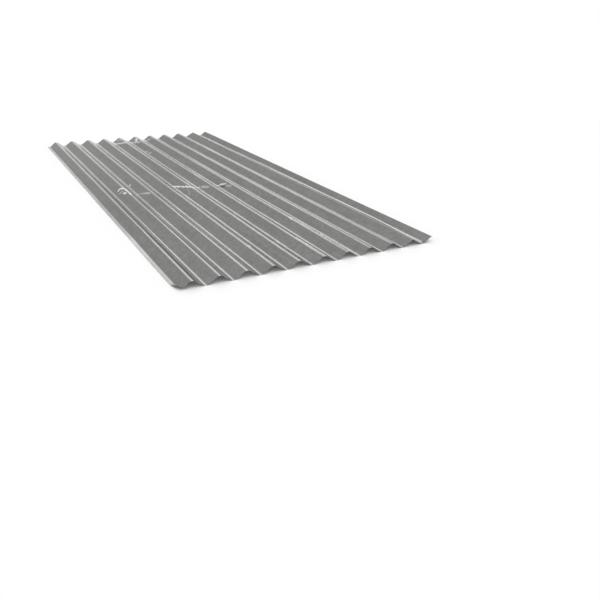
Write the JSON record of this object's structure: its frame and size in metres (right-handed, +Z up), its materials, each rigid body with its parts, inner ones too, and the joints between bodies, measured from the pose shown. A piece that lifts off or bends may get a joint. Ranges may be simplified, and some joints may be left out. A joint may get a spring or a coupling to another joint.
{
  "type": "corrugated galvanised steel sheet",
  "caption": "Flat-lying roofing sheet of thin galvanised steel in round waves; its left edge ends low in a valley and its right edge high on a crest.",
  "frame": {"origin": "middle of the area the sheet covers, at the height of the valley undersides that it rests on", "axes": "+X across the waves, towards the edge that ends up at a crest; +Y along the waves; +Z up, so the sheet lies flat"},
  "size_m": [0.8002, 1.829, 0.0195],
  "materials": {
    "galvanised_steel": "bright hot-dip galvanised, almost mirror-like, with faint roll lines and a few pale scuffs"
  },
  "bodies": {
    "root": {"corrugated_sheet": "galvanised_steel"}
  },
  "joints": []
}
